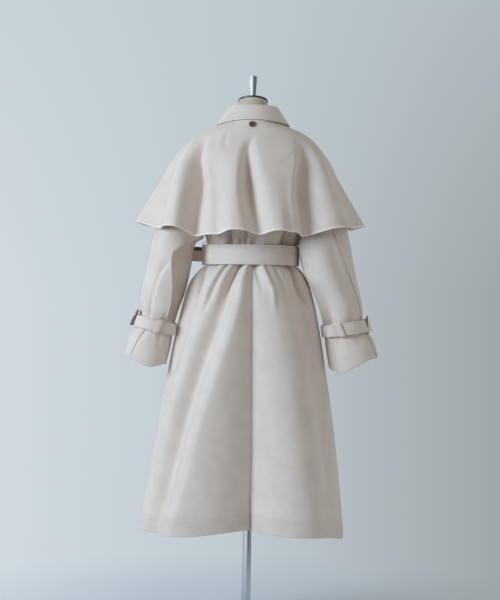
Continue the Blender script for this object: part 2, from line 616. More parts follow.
def line_bump(path, width, rise, x, y):
    """A soft ridge or trough along a line in a plane, fading at its two ends."""
    path = np.asarray(path, float)
    lengths = np.hypot(*np.diff(path, axis=0).T)
    starts = np.concatenate(([0.0], np.cumsum(lengths)))
    best = np.full(np.shape(x), 1e9)
    along = np.zeros(np.shape(x))
    for i, length in enumerate(lengths):
        step = (path[i + 1] - path[i]) / length
        t = np.clip((x - path[i, 0]) * step[0] + (y - path[i, 1]) * step[1], 0.0, length)
        away = np.hypot(x - path[i, 0] - t * step[0], y - path[i, 1] - t * step[1])
        nearer = away < best
        best = np.where(nearer, away, best)
        along = np.where(nearer, (starts[i] + t) / starts[-1], along)
    return rise * between(CREASE_FADE_IN, CREASE_FADE_OUT, along) * bell(best, width)


def crease_rise(creases, turn, z):
    """Creases on a ringed surface, measured in metres on a ring of a usual size."""
    total = 0.0
    x = np.radians(past_line(0.0, turn)) * CREASE_RADIUS
    for c in creases:
        path = [(math.radians(t) * CREASE_RADIUS, h) for t, h in c.path]
        total = total + line_bump(path, c.width, c.rise, x, z)
    return total


def unevenness(waver, turn, z):
    """Slight unevenness of cloth: a few long waves of different ways."""
    x = np.radians(turn) * waver.radius
    total = 0.0
    for k in range(WAVES):
        angle = 1.7 * k + waver.seed
        length = waver.length * (0.7 + 0.35 * k)
        way = x * math.cos(angle) + z * math.sin(angle)
        total = total + np.sin(way * 2.0 * math.pi / length + 2.3 * k + waver.seed)
    return waver.rise * (total / WAVES)


# Surfaces

def hem_z(turn):
    side = np.sin(np.radians(turn))
    centre = HEM_CENTRE_RISE * (1.0 - smooth(0.0, HEM_CENTRE_TURN, np.abs(turn)))
    left = HEM_LEFT_RISE * np.maximum(0.0, side) ** HEM_SIDE_POWER
    return HEM_Z + centre + left - HEM_RIGHT_DROP * np.maximum(0.0, -side) ** HEM_SIDE_POWER


def level(turn, z):
    """A row's height, with the hem's own line eased in above it."""
    return z + (hem_z(turn) - HEM_Z) * (1.0 - smooth(HEM_Z, HEM_Z + HEM_EASE, z))


def body(turn, z, out=0.0):
    """The outer face of the coat's body."""
    fade = 1.0 - smooth(BELT_TOP_Z, BELT_TOP_Z + GATHER_FADE, z)
    fold = fold_rise(SKIRT_FOLDS, SKIRT_LEVELS, turn, z) * fade
    fold = fold + crease_rise(BODY_CREASES, turn, z)
    fold = fold + unevenness(SKIRT_WAVER, turn, z) * (1.0 - smooth(*SKIRT_WAVER_END, z))
    return on_ring(rings(BODY_RINGS, z), turn, z, fold + out)


def raglan_x(z):
    """The raglan line's distance from the middle, between the underarm and the neck."""
    part = (z - UNDERARM_Z) / (NECK_Z - UNDERARM_Z)
    return UNDERARM_X + (NECK_SIDE_X - UNDERARM_X) * part


def side_turn(z):
    """Turn of the side seam, and above the underarm of the raglan line."""
    sine = np.clip(raglan_x(z) / rings(BODY_RINGS, z)[0], -1.0, 1.0)
    return np.where(z <= UNDERARM_Z, 90.0, np.degrees(np.arcsin(sine)))


def seam_turn(z, gap):
    return np.degrees(0.5 * gap / rings(BODY_RINGS, z)[0])


def pleat(index, angle):
    """The left sleeve's pleat: a sharp edge, with the cloth past it lying deeper."""
    past = np.radians(angle - curve(PLEAT_SECTIONS, PLEAT_ANGLES, index)) * SLEEVE_RADIUS
    deep = 1.0 - np.exp(-np.maximum(past, 0.0) / PLEAT_FALL)
    rise = PLEAT_RISE * np.exp(np.minimum(past, 0.0) / PLEAT_SLOPE)
    here = between(PLEAT_START, PLEAT_END, index)
    return (rise - PLEAT_DEPTH * deep) * here * (1.0 - smooth(*PLEAT_BACK, angle))


def sleeve_lap(index, angle):
    past = np.radians(angle - curve(SLEEVE_LAP_SECTIONS, SLEEVE_LAP_ANGLES, index)) * SLEEVE_RADIUS
    sunk = np.where(past < 0.0, np.exp(np.minimum(past, 0.0) / SLEEVE_LAP_SLOPE),
                    1.0 - smooth(0.0, SLEEVE_LAP_STEP, past))
    return -SLEEVE_LAP_DEPTH * sunk * between(SLEEVE_LAP_START, SLEEVE_LAP_END, index)


def inner_hollow(index, angle):
    past = np.maximum(np.radians(HOLLOW_ANGLE - angle) * SLEEVE_RADIUS, 0.0)
    here = between(HOLLOW_START, HOLLOW_END, index)
    return -HOLLOW_DEPTH * (1.0 - np.exp(-past / HOLLOW_FALL)) * bell(past, HOLLOW_LENGTH) * here


def strap_gathers(index, angle):
    """How deep the strap's gathers are, just above and just below the strap."""
    away = np.abs(index - STRAP_SECTION)
    near = bell(away - STRAP_HALF_SECTIONS - GATHER_MIDDLE, GATHER_SPREAD)
    near = near * smooth(STRAP_HALF_SECTIONS, STRAP_HALF_SECTIONS + GATHER_START, away)
    return [g.depth * near * bell(past_line(g.angle, angle), g.width) for g in STRAP_GATHERS]


def sleeve(table, folds, index, angle, out=0.0, side=1):
    """A sleeve's outer face: index counts sections, angle runs from the over-arm line by the back."""
    keys = np.arange(len(table), dtype=float)
    sizes = [curve(keys, column, index) for column in zip(*table)]
    over_x, over_z, under_x, under_z, mid_y, depth = sizes[:6]
    cosine = np.cos(np.radians(angle))
    sine = np.sin(np.radians(angle))
    lean_x, lean_z = 0.5 * (over_x - under_x), 0.5 * (over_z - under_z)
    flat = np.hypot(lean_x, lean_z)
    normal = unit(places_of(lean_x / flat * depth * cosine, flat * sine, lean_z / flat * depth * cosine))
    place = places_of(0.5 * (over_x + under_x) + lean_x * cosine, mid_y + depth * sine,
                      0.5 * (over_z + under_z) + lean_z * cosine)
    angle = angle % 360.0
    for f in folds:
        path = [(i * SECTION_SCALE, a) for i, a in f.path]
        out = out + line_bump(path, f.width, f.rise, index * SECTION_SCALE, angle)
    if folds is LEFT_FOLDS:
        out = out + pleat(index, angle) + sleeve_lap(index, angle)
    if folds is RIGHT_FOLDS:
        out = out + inner_hollow(index, angle)
    out = out - UNDER_CAPE_IN * (1.0 - smooth(*UNDER_CAPE_SECTIONS, index))
    if folds:
        out = out - STRAP_DRAW * bell(index - STRAP_SECTION, STRAP_DRAW_SPREAD)
    for deep in strap_gathers(index, angle):
        out = out - deep
    place = place + normal * np.asarray(out)[..., None]
    away = np.abs(past_line(CUFF_DROOP_ANGLE[side], angle))
    droop = CUFF_DROOP[side] * (1.0 - smooth(0.0, CUFF_DROOP_SPREAD, away))
    droop = droop * smooth(*CUFF_DROOP_SECTIONS, index)
    sag = STRAP_SAG * 0.5 * (1.0 + sine) * bell(index - STRAP_SECTION, STRAP_SAG_SPREAD)
    place[..., 2] -= droop + sag
    return place * np.array((side, 1.0, 1.0))


def armhole(angle, side):
    """The raglan line, by the same angle as the sleeve's sections."""
    cosine = np.cos(np.radians(angle))
    sine = np.sin(np.radians(angle))
    z = 0.5 * (NECK_Z + UNDERARM_Z) + 0.5 * (NECK_Z - UNDERARM_Z) * cosine
    turn = np.where(sine > 0.0, side_turn(z), 180.0 - side_turn(z))
    y = on_ring(rings(BODY_RINGS, z), turn, z)[..., 1]
    y = np.where(cosine > 0.0, y * smooth(0.0, ARMHOLE_TOP_SINE, np.abs(sine)), y)
    return np.stack((side * (raglan_x(z) + RAGLAN_GAP), y, z), -1)


def strap(table, side, angle, across, out):
    """The straight band round a sleeve's strap line, from its upper (0) to its lower edge (1)."""
    out = out + STRAP_BULGE[side] * bell(past_line(0.0, angle), STRAP_BULGE_SPREAD)
    upper = sleeve(table, (), STRAP_SECTION - STRAP_HALF_SECTIONS, angle, STRAP_GAP + out, side)
    lower = sleeve(table, (), STRAP_SECTION + STRAP_HALF_SECTIONS, angle, STRAP_GAP + out, side)
    return upper + (lower - upper) * np.asarray(across)[..., None]


def cape(turn, across, out=0.0):
    """The cape's outer face, from its neck edge (0) to its hem (1)."""
    top, hem = CAPE_RINGS[0].z, CAPE_RINGS[-1].z
    z = top + (hem - top) * across ** CAPE_ROW_POWER
    share = np.clip((CAPE_LEVELS[-1] - z) / (CAPE_LEVELS[-1] - hem), 0.0, 1.0)
    fold = fold_rise(CAPE_FOLDS, CAPE_LEVELS, turn, z)
    small = crease_rise(CAPE_CREASES, turn, z)
    small = small + unevenness(CAPE_WAVER, turn, z) * smooth(*CAPE_WAVER_START, across)
    side = np.sin(np.radians(turn))
    rise = (CAPE_HEM_SIDE_RISE + CAPE_HEM_LEFT_RISE * side) * np.abs(side) ** CAPE_HEM_SIDE_POWER
    place = on_ring(rings(CAPE_RINGS, z), turn, z, fold + small + out)
    place[..., 2] += (rise + CAPE_HEM_FOLD_RISE * fold) * share ** 2
    return place


def collar(turn, across):
    """The collar's outer face, from the foot of its stand (0) to the edge of its fall (1)."""
    keys = np.arange(len(COLLAR_PROFILE), dtype=float)
    z, *sizes = [curve(keys, column, across * (len(keys) - 1.0)) for column in zip(*COLLAR_PROFILE)]
    point = smooth(COLLAR_POINT_TURN, COLLAR_END_TURN, np.abs(turn)) * smooth(COLLAR_POINT_FROM, 1.0, across)
    back = (1.0 - smooth(0.0, COLLAR_BACK_TURN, np.abs(turn))) * smooth(COLLAR_BACK_FROM, 1.0, across)
    place = on_ring(sizes, turn, z, COLLAR_POINT_OUT * point - COLLAR_BACK_IN * back)
    place[..., 2] += COLLAR_BACK_RISE * back - COLLAR_POINT_DROP * point
    return place


def belt_ring(turn, z, out):
    sizes = (BELT_HALF_WIDTH, BELT_HALF_DEPTH, BELT_HALF_DEPTH, 0.0)
    return on_ring(sizes, turn, z, out)


def belt_tail(part, across):
    """The belt's free end, leaning over as it leaves the waist."""
    place = belt_ring(180.0 - BELT_LAP_TURN, 0.0, BELT_LAP_OUT)
    before = belt_ring(181.0 - BELT_LAP_TURN, 0.0, BELT_LAP_OUT)
    way = (place - before) / np.linalg.norm(place - before)
    part = part[..., None]
    across = across[..., None]
    lean = np.array(BELT_TAIL_LOWER) + (np.array(BELT_TAIL_UPPER) - np.array(BELT_TAIL_LOWER)) * across
    up = np.array((0.0, 0.0, 1.0)) * (BELT_BOTTOM_Z + BELT_HEIGHT * across)
    return place + way * BELT_TAIL * part + lean * smooth(0.0, BELT_TAIL_TURNED, part) + up


# Meshes

def normals_of(grid):
    """Unit normals of a grid of places, up crossed with along."""
    return unit(np.cross(np.gradient(grid, axis=0), np.gradient(grid, axis=1)))


def rim_of(rows, columns):
    """Indices round a grid's edge, and of the neighbour inside each."""
    rim = [(0, i) for i in range(columns)] + [(j, columns - 1) for j in range(1, rows)]
    rim += [(rows - 1, i) for i in range(columns - 2, -1, -1)] + [(j, 0) for j in range(rows - 2, 0, -1)]
    inside = [(min(max(j, 1), rows - 2), min(max(i, 1), columns - 2)) for j, i in rim]
    return rim, inside


def mesh_object(name, places, faces, uv, material, tone=None):
    mesh = bpy.data.meshes.new(name)
    mesh.from_pydata(places.tolist(), [], faces)
    layer = mesh.uv_layers.new(name="cloth")
    index = np.zeros(len(mesh.loops), np.int32)
    mesh.loops.foreach_get("vertex_index", index)
    layer.data.foreach_set("uv", np.asarray(uv, np.float32)[index].ravel())
    if tone is not None:
        mesh.attributes.new("tone", "FLOAT", "POINT").data.foreach_set("value", np.asarray(tone, np.float32))
    mesh.polygons.foreach_set("use_smooth", np.ones(len(mesh.polygons), bool))
    mesh.materials.append(material)
    obj = bpy.data.objects.new(name, mesh)
    bpy.context.scene.collection.objects.link(obj)
    return obj


def wall(name, grid, thickness, material, facing=1, bulge=0.35, tone=0.0):
    """A closed thin wall whose outer face is the grid, with a turned edge all round.

    A tone above zero makes the cloth paler at a place of the grid, below zero darker.
    """
    rows, columns, _ = grid.shape
    inner = grid - normals_of(grid) * facing * thickness
    along = measure(grid, 1)
    along = along - along[:, columns // 2:columns // 2 + 1]
    uv = np.stack((along, measure(grid, 0)), -1).reshape(-1, 2)
    rim, inside = rim_of(rows, columns)
    edge = np.array([grid[p] for p in rim])
    out = unit(edge - np.array([grid[p] for p in inside]))
    middle = 0.5 * (edge + np.array([inner[p] for p in rim])) + out * thickness * bulge
    places = np.concatenate((grid.reshape(-1, 3), inner.reshape(-1, 3), middle))
    flat = [j * columns + i for j, i in rim]
    j, i = np.meshgrid(np.arange(rows - 1), np.arange(columns - 1), indexing="ij")
    a = (j * columns + i).ravel()
    outer_faces = np.stack((a, a + columns, a + columns + 1, a + 1), 1)
    count = rows * columns
    faces = [tuple(f) for f in np.concatenate((outer_faces, outer_faces[:, ::-1] + count)).tolist()]
    for k in range(len(rim)):
        n = (k + 1) % len(rim)
        faces.append((flat[k], flat[n], 2 * count + n, 2 * count + k))
        faces.append((2 * count + k, 2 * count + n, count + flat[n], count + flat[k]))
    if facing < 0:
        faces = [f[::-1] for f in faces]
    tone = np.broadcast_to(tone, (rows, columns)).ravel()
    tones = np.concatenate((tone, tone, tone[flat]))
    return mesh_object(name, places, faces, np.concatenate((uv, uv, uv[flat])), material, tones)


def tube_faces(rows, columns):
    """Faces of a tube of closed rings, with both ends capped."""
    faces = []
    for j in range(rows - 1):
        for i in range(columns):
            n = (i + 1) % columns
            faces.append((j * columns + i, j * columns + n, (j + 1) * columns + n, (j + 1) * columns + i))
    faces.append(tuple(range(columns))[::-1])
    faces.append(tuple((rows - 1) * columns + i for i in range(columns)))
    return faces


def tube(name, grid, uv, material):
    """Closed rings of places joined into a capped tube, with its corners kept sharp."""
    rows, columns, _ = grid.shape
    obj = mesh_object(name, grid.reshape(-1, 3), tube_faces(rows, columns), uv, material)
    obj.data.set_sharp_from_angle(angle=SHARP_ANGLE)
    return obj


def eased(profile, radius, steps=4):
    """A profile with every inner corner rounded."""
    profile = [np.array(p, float) for p in profile]
    made = [profile[0]]
    for before, here, after in zip(profile, profile[1:], profile[2:]):
        back, ahead = before - here, after - here
        size = min(radius, 0.45 * np.linalg.norm(back), 0.45 * np.linalg.norm(ahead))
        start = here + back / np.linalg.norm(back) * size
        end = here + ahead / np.linalg.norm(ahead) * size
        for k in range(steps + 1):
            t = k / steps
            made.append((1 - t) ** 2 * start + 2 * t * (1 - t) * here + t * t * end)
    made.append(profile[-1])
    return made


def turned(name, profile, corner, material, steps=96):
    """A profile of radius and height turned round the Z axis, its corners rounded."""
    profile = eased(profile, corner)
    angles = np.linspace(0.0, 2.0 * math.pi, steps, endpoint=False)
    grid = np.array([[(r * math.cos(a), r * math.sin(a), z) for a in angles] for r, z in profile])
    uv = [(i / steps, z) for _, z in profile for i in range(steps)]
    return tube(name, grid, uv, material)


def spread(count, near_low=(), near_high=()):
    """Shares from 0 to 1, evenly, with further ones close to either end."""
    first = 1.3 * max(near_low, default=0.0)
    last = 1.0 - 1.3 * max(near_high, default=0.0)
    even = [e for e in np.linspace(0.0, 1.0, count) if first < e < last or e in (0.0, 1.0)]
    return np.array(sorted(set(even) | set(near_low) | {1.0 - n for n in near_high}))


# Materials

def plug(tree, node, inputs):
    """Set a node's inputs. One that is given another node's output is linked to it."""
    for name, value in inputs.items():
        if isinstance(value, bpy.types.NodeSocket):
            tree.links.new(value, node.inputs[name])
        else:
            node.inputs[name].default_value = value


def add(tree, kind, output, inputs, **settings):
    """The named output of a new shader node."""
    node = tree.nodes.new("ShaderNode" + kind)
    for name, value in settings.items():
        setattr(node, name, value)
    plug(tree, node, inputs)
    return node.outputs[output]


def new_material(name):
    """A material with its node tree, its texture coordinates and its shader."""
    material = bpy.data.materials.new(name)
    material.use_nodes = True
    tree = material.node_tree
    where = tree.nodes.new("ShaderNodeTexCoord").outputs
    return material, tree, where, tree.nodes["Principled BSDF"]


def noise(tree, source, scale, detail=3.0):
    return add(tree, "TexNoise", "Fac", {"Vector": source, "Scale": scale, "Detail": detail})


def ramp(tree, source, stops):
    """Colours by their places along a ramp, in order."""
    node = tree.nodes.new("ShaderNodeValToRGB")
    elements = node.color_ramp.elements
    elements[0].position = stops[0][0]
    elements[1].position = stops[-1][0]
    for place, _ in stops[1:-1]:
        elements.new(place)
    for element, (_, colour) in zip(elements, stops):
        element.color = (*colour, 1.0)
    plug(tree, node, {"Fac": source})
    return node.outputs["Color"]


def mapped(tree, source, old, new=(0.0, 1.0), kind="LINEAR"):
    """A value's range made into another range."""
    ends = {"From Min": old[0], "From Max": old[1], "To Min": new[0], "To Max": new[1]}
    return add(tree, "MapRange", "Result", {"Value": source, **ends}, interpolation_type=kind)


def bump(tree, source, distance, strength, below=None):
    """Normals of a source's relief, over another relief's where one is given."""
    inputs = {"Height": source, "Distance": distance, "Strength": strength}
    if below is not None:
        inputs["Normal"] = below
    return add(tree, "Bump", "Normal", inputs)


def cloth_material(name, low, high, twill=0.0011, slant=62.0):
    """Matt twill: fine slanted ribs, a little fuzz and a slight unevenness of tone."""
    material, tree, where, shader = new_material(name)
    rotation = (0.0, 0.0, math.radians(slant))
    slanted = add(tree, "Mapping", "Vector", {"Vector": where["UV"], "Rotation": rotation})
    scale = 0.1 * math.pi / twill
    ribs = add(tree, "TexWave", "Fac", {"Vector": slanted, "Scale": scale, "Distortion": 0.6, "Detail": 1.0})
    tone = ramp(tree, noise(tree, where["Object"], 24.0, 4.0), ((0.35, low), (0.65, high)))
    place_tone = add(tree, "Attribute", "Fac", {}, attribute_name="tone")
    gain = add(tree, "Math", "Value", {0: place_tone, 1: 1.0}, operation="ADD")
    toned = add(tree, "VectorMath", "Vector", {0: tone, "Scale": gain}, operation="SCALE")
    fuzz = bump(tree, noise(tree, where["Object"], 900.0), 0.0002, 0.25)
    plug(tree, shader, {
        "Base Color": toned, "Normal": bump(tree, ribs, 0.00012, 0.35, fuzz), "Roughness": 0.88,
        "Specular IOR Level": 0.25, "Sheen Weight": 0.12, "Sheen Roughness": 0.5})
    return material


def leather_material(name, low, high):
    material, tree, where, shader = new_material(name)
    tone = ramp(tree, noise(tree, where["Object"], 160.0, 5.0), ((0.35, low), (0.65, high)))
    cells = add(tree, "TexVoronoi", "Distance", {"Vector": where["Object"], "Scale": 1100.0})
    plug(tree, shader, {"Base Color": tone, "Normal": bump(tree, cells, 0.0003, 0.4), "Roughness": 0.5})
    return material


def metal_material(name, low, high, rough):
    """Metal with a fine grain that runs up and down."""
    material, tree, where, shader = new_material(name)
    stretched = add(tree, "Mapping", "Vector", {"Vector": where["Object"], "Scale": (1.0, 1.0, 0.05)})
    grain = noise(tree, stretched, 700.0, 2.0)
    tone = ramp(tree, grain, ((0.3, low), (0.7, high)))
    relief = bump(tree, grain, 0.00005, 0.12)
    plug(tree, shader, {"Base Color": tone, "Normal": relief, "Metallic": 1.0, "Roughness": rough})
    return material


CREAM = cloth_material("cream_twill", (0.735, 0.636, 0.549), (0.780, 0.682, 0.594))
THREAD = cloth_material("cream_thread", (0.66, 0.57, 0.50), (0.72, 0.63, 0.56), 0.0006, 20.0)
LINEN = cloth_material("form_linen", (0.53, 0.475, 0.365), (0.60, 0.54, 0.42), 0.0016, 0.0)
LEATHER = leather_material("brown_leather", (0.100, 0.055, 0.040), (0.160, 0.092, 0.066))
HORN = leather_material("brown_horn", (0.060, 0.034, 0.020), (0.120, 0.070, 0.042))
CHROME = metal_material("chrome", (0.60, 0.63, 0.65), (0.68, 0.71, 0.73), 0.16)
SATIN = metal_material("satin_steel", (0.40, 0.44, 0.46), (0.48, 0.52, 0.54), 0.42)
DARK = metal_material("dark_metal", (0.075, 0.085, 0.09), (0.11, 0.12, 0.125), 0.38)


# Pieces

def piece(obj, node):
    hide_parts(node)
    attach(obj, "root")
    return obj


def stitches(name, grid, facing, row, columns, lift=STITCH_LIFT):
    """A row of thread stitches along a row of cloth, each a small bent rod that dips in at its ends."""
    line = grid[row, columns]
    normal = (normals_of(grid) * facing)[row, columns]
    at = measure(line, 0)
    count = int((at[-1] - STITCH_LENGTH) / STITCH_STEP)
    begin = (np.arange(count) + 0.5) * at[-1] / count - 0.5 * STITCH_LENGTH
    s = begin[:, None] + np.array(STITCH_STOPS) * STITCH_LENGTH
    place = np.stack([np.interp(s, at, line[:, k]) for k in range(3)], -1)
    up = unit(np.stack([np.interp(s, at, normal[:, k]) for k in range(3)], -1))
    across = np.cross(unit(np.gradient(place, axis=1)), up)
    heights = np.array(STITCH_HEIGHTS) * STITCH_RADIUS + lift
    place = place + up * heights[None, :, None]
    places = []
    for k in range(STITCH_SIDES):
        angle = 2.0 * math.pi * k / STITCH_SIDES
        places.append(place + STITCH_RADIUS * (across * math.cos(angle) + up * math.sin(angle)))
    places = np.stack(places, 2).reshape(-1, 3)
    rod = tube_faces(len(STITCH_STOPS), STITCH_SIDES)
    each = len(STITCH_STOPS) * STITCH_SIDES
    faces = [tuple(m * each + corner for corner in face) for m in range(count) for face in rod]
    obj = mesh_object(name, places, faces, np.zeros((len(places), 2)), THREAD)
    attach(obj, "root")
    return obj


def cloth_piece(node, grid, thickness, facing, bulge=0.35, tone=0.0):
    obj = piece(wall(node + "_cloth", grid, thickness, CREAM, facing, bulge, tone), node)
    return obj


def seam_dip(away):
    """How far cloth is drawn in beside a seam."""
    return -SEAM_DIP * bell(away, SEAM_WIDTH)


def turned_edge(away, fold, line, width):
    """A turned edge is two layers thick as far as its fold, and its row of stitches draws the cloth in."""
    return EDGE_LAYER * (1.0 - smooth(*fold, away)) - EDGE_DRAW * bell(away - line, width)


def body_piece(node, side, turn_low, turn_high, count, seam_high, extra=None):
    """A panel of the body between two edge turns that change with the height."""
    along = spread(count, EDGE, EDGE)
    guess = turn_low(BODY_Z)[:, None] * (1.0 - along) + turn_high(BODY_Z)[:, None] * along
    z = level(guess, BODY_Z[:, None])
    low, high = turn_low(z), turn_high(z)
    turn = low + (high - low) * along
    up = z - level(turn, np.full(np.shape(z), HEM_Z))
    out = turned_edge(up, (HEM_TURN_UP - HEM_FOLD, HEM_TURN_UP), HEM_TURN_UP, HEM_STITCH_WIDTH)
    half = rings(BODY_RINGS, z)[0]
    out = out + seam_dip(np.radians(np.abs(turn - low)) * half)
    if seam_high:
        out = out + seam_dip(np.radians(np.abs(high - turn)) * half)
    if extra is not None:
        out = out + extra(turn)
    grid = body(turn, z, out)
    row = HEM_ROWS.index(HEM_TURN_UP)
    sewn = stitches(node + "_hem_stitches", grid, side, row, slice(2, -2), -STITCH_LIFT)
    shade = -HEM_SHADE * (1.0 - smooth(HEM_TURN_UP - 0.5 * HEM_FOLD, HEM_TURN_UP + 0.5 * HEM_FOLD, up))
    return cloth_piece(node, grid, CLOTH, side, tone=shade)


def centre(z, side):
    """Turn of the centre-back edge of a back panel, open at the vent."""
    vent = VENT_OPEN_HALF * (1.0 - smooth(HEM_Z, VENT_OPEN_Z, z))
    return np.interp(z, CENTRE_SEAM_Z, CENTRE_SEAM_TURN) + side * seam_turn(z, SEAM_GAP + 2.0 * vent)


def side_edge(z):
    return side_turn(z) - seam_turn(z, SEAM_GAP)


def front_edge(z):
    return 180.0 - side_turn(z) + seam_turn(z, SEAM_GAP)


def lap_edge(z):
    return np.full(np.shape(z), 180.0 + LAP_TURN)


def lap_rise(turn):
    """The right front rises over the left where they lap."""
    return LAP_OUT * smooth(LAP_START, 180.0 - LAP_TURN, np.abs(turn))


for word, side in SIDES:
    body_piece("back_" + word, side, lambda z: centre(z, side), lambda z: side * side_edge(z),
               BACK_COLUMNS, True)
for word, side in SIDES:
    body_piece("front_" + word, side, lambda z: side * front_edge(z), lambda z: side * lap_edge(z),
               FRONT_COLUMNS, False, lap_rise if side < 0 else None)

# Strip behind the vent
strip_z = np.linspace(HEM_Z + HEM_CENTRE_RISE + VENT_STRIP_UP, VENT_TOP_Z, VENT_GRID.rows)[:, None]
strip_half = np.degrees(VENT_STRIP_HALF / rings(BODY_RINGS, strip_z)[0])
strip_turn = np.interp(strip_z, CENTRE_SEAM_Z, CENTRE_SEAM_TURN)
strip_turn = strip_turn + strip_half * np.linspace(1.0, -1.0, VENT_GRID.columns)
strip = body(strip_turn, strip_z, -(CLOTH + VENT_STRIP_GAP))
cloth_piece("vent_underlap", strip, CLOTH, -1)


def sleeve_grid(table, folds, side, back, columns):
    """One of a sleeve's two pieces between the over-arm and under-arm seams."""
    keys = np.arange(len(table), dtype=float)
    index = np.concatenate([np.linspace(*rows) for rows in SLEEVE_ROWS])[:, None]
    over = curve(keys, [row.over_seam for row in table], index)
    under = curve(keys, [row.under_seam for row in table], index)
    gap = math.degrees(0.5 * SEAM_GAP / SLEEVE_RADIUS)
    first, last = (over + gap, under - gap) if back else (under + gap, 360.0 + over - gap)
    angle = first + (last - first) * spread(columns, EDGE, EDGE)
    near_first = bell(np.radians(angle - first) * SLEEVE_RADIUS, SLEEVE_SEAM_WIDTH)
    near_last = bell(np.radians(last - angle) * SLEEVE_RADIUS, SLEEVE_SEAM_WIDTH)
    over_near, under_near = (near_first, near_last) if back else (near_last, near_first)
    shown = 1.0
    if side > 0:
        shown = LEFT_SEAM_SHOWN + (1.0 - LEFT_SEAM_SHOWN) * smooth(*LEFT_SEAM_SECTIONS, index)
    out = over_near * shown * (-SLEEVE_SEAM_DIP if back else SLEEVE_SEAM_LIFT)
    cuff_dip = SLEEVE_SEAM_LIFT - CUFF_SEAM_DIP * smooth(*CUFF_SEAM_SECTIONS, index)
    out = out + under_near * (cuff_dip if back else -SLEEVE_SEAM_DIP)
    grid = sleeve(table, folds, index, angle, out, side)
    top = armhole(angle[:1], side)
    ease = np.linspace(0.0, 1.0, ARMHOLE_ROWS + 1)[:-1, None, None]
    return np.concatenate((top * (1.0 - ease) + grid[:1] * ease, grid))


def strap_grid(table, side):
    along = np.concatenate([np.linspace(*columns) for columns in STRAP_COLUMNS])[None, :]
    across = spread(STRAP_ROWS, STRAP_EDGE, STRAP_EDGE)[:, None]
    slant = STRAP_TIP_SLANT * (1.0 - across) * smooth(STRAP_TIP_FROM, 1.0, along)
    angle = STRAP_START + (STRAP_LAP_END[side] - slant - STRAP_START) * along
    layer = STRAP_LAYER * smooth(*STRAP_STEP_ANGLES, angle)
    crown = STRAP_CROWN * np.sin(np.pi * across)
    groove = -STRAP_GROOVE * sum(bell(across - at, STRAP_GROOVE_WIDTH) for at in STRAP_GROOVES)
    lift = STRAP_TIP_LIFT * smooth(STRAP_LIFT_FROM, 1.0, along)
    return strap(table, side, angle, across, STRAP_WALL + layer + crown + groove + lift)


def keeper_grid(table, side):
    along = np.linspace(-1.0, 1.0, KEEPER_GRID.columns)[None, :]
    height = np.linspace(-1.0, 1.0, KEEPER_GRID.rows)[:, None]
    top = CLEAR + STRAP_WALL + STRAP_LAYER + LOOP_WALL + KEEPER_LIFT
    angle = KEEPER_ANGLE[side] + KEEPER_HALF_ANGLE * along - KEEPER_LEAN * height
    bend = smooth(KEEPER_BEND, 1.0, np.abs(height))
    out = top + (LOOP_WALL - top) * bend + KEEPER_CROWN * (1.0 - along ** 2)
    return strap(table, side, angle, 0.5 + 0.5 * height * KEEPER_REACH, out)


for word, side in SIDES:
    table, folds = (SLEEVE_LEFT, LEFT_FOLDS) if side > 0 else (SLEEVE_RIGHT, RIGHT_FOLDS)
    for part, columns in SLEEVE_COLUMNS.items():
        grid = sleeve_grid(table, folds, side, part == "back", columns)
        cloth_piece("sleeve_" + word + "_" + part, grid, CLOTH, side)
    node = "cuff_strap_" + word
    grid = strap_grid(table, side)
    sewn = [stitches(node + "_stitches_" + edge, grid, side, row, slice(2, None))
            for edge, row in (("upper", 3), ("lower", -4))]
    cloth_piece(node, grid, STRAP_WALL, side, 0.5)
    cloth_piece("cuff_keeper_" + word, keeper_grid(table, side), LOOP_WALL, side, 0.5)

# Cape, in rows from its neck edge down to its hem; its stitches lie along the neck edge, under the collar
cape_across = spread(CAPE_GRID.rows, CAPE_NECK_ROWS, CAPE_HEM_ROWS)[:, None]
cape_edge = (1.0 - cape_across) * CAPE_LENGTH
cape_stitch_row = int(np.argmin(np.abs(cape_across * CAPE_LENGTH - CAPE_STITCH)))
cape_gap = math.degrees(SEAM_GAP / CAPE_RINGS[0].half_width)
front_turn = CAPE_SEAM_TURN + cape_gap
for node, first, last, count in (("cape_back", -CAPE_SEAM_TURN, CAPE_SEAM_TURN, CAPE_GRID.columns),
                                 ("cape_front_left", front_turn, CAPE_EDGE_TURN, FRONT_COLUMNS),
                                 ("cape_front_right", -CAPE_EDGE_TURN, -front_turn, FRONT_COLUMNS)):
    turn = first + (last - first) * spread(count, EDGE, EDGE)[None, :]
    seams = np.minimum(np.abs(turn - CAPE_SEAM_TURN), np.abs(turn + CAPE_SEAM_TURN))
    out = seam_dip(np.radians(seams) * (CAPE_NECK_RADIUS + CAPE_FLARE * cape_across))
    out = out + turned_edge(cape_edge, (CAPE_STITCH, CAPE_STITCH + HEM_FOLD), CAPE_STITCH, CAPE_STITCH_WIDTH)
    out = out + CAPE_ROLL * (1.0 - smooth(0.0, CAPE_ROLL_WIDTH, cape_edge))
    grid = cape(turn, cape_across, out)
    pale = CAPE_EDGE_PALE * (1.0 - smooth(CAPE_PALE_START, CAPE_ROLL_WIDTH, cape_edge))
    sewn = stitches(node + "_hem_stitches", grid, 1, cape_stitch_row, slice(1, -1), -STITCH_LIFT)
    cloth_piece(node, grid, CLOTH, 1, 0.5, pale)

# Collar
collar_across = spread(COLLAR_GRID.rows, COLLAR_FOOT_ROWS, COLLAR_EDGE_ROWS)[:, None]
collar_along = spread(COLLAR_GRID.columns, COLLAR_END_COLUMNS, COLLAR_END_COLUMNS)[None, :]
collar_turn = COLLAR_END_TURN * (1.0 - 2.0 * collar_along)
grid = collar(collar_turn, collar_across)
sewn = stitches("collar_edge_stitches", grid, 1, -4, slice(3, -3))
cloth_piece("collar", grid, COLLAR_WALL, 1, 0.5)

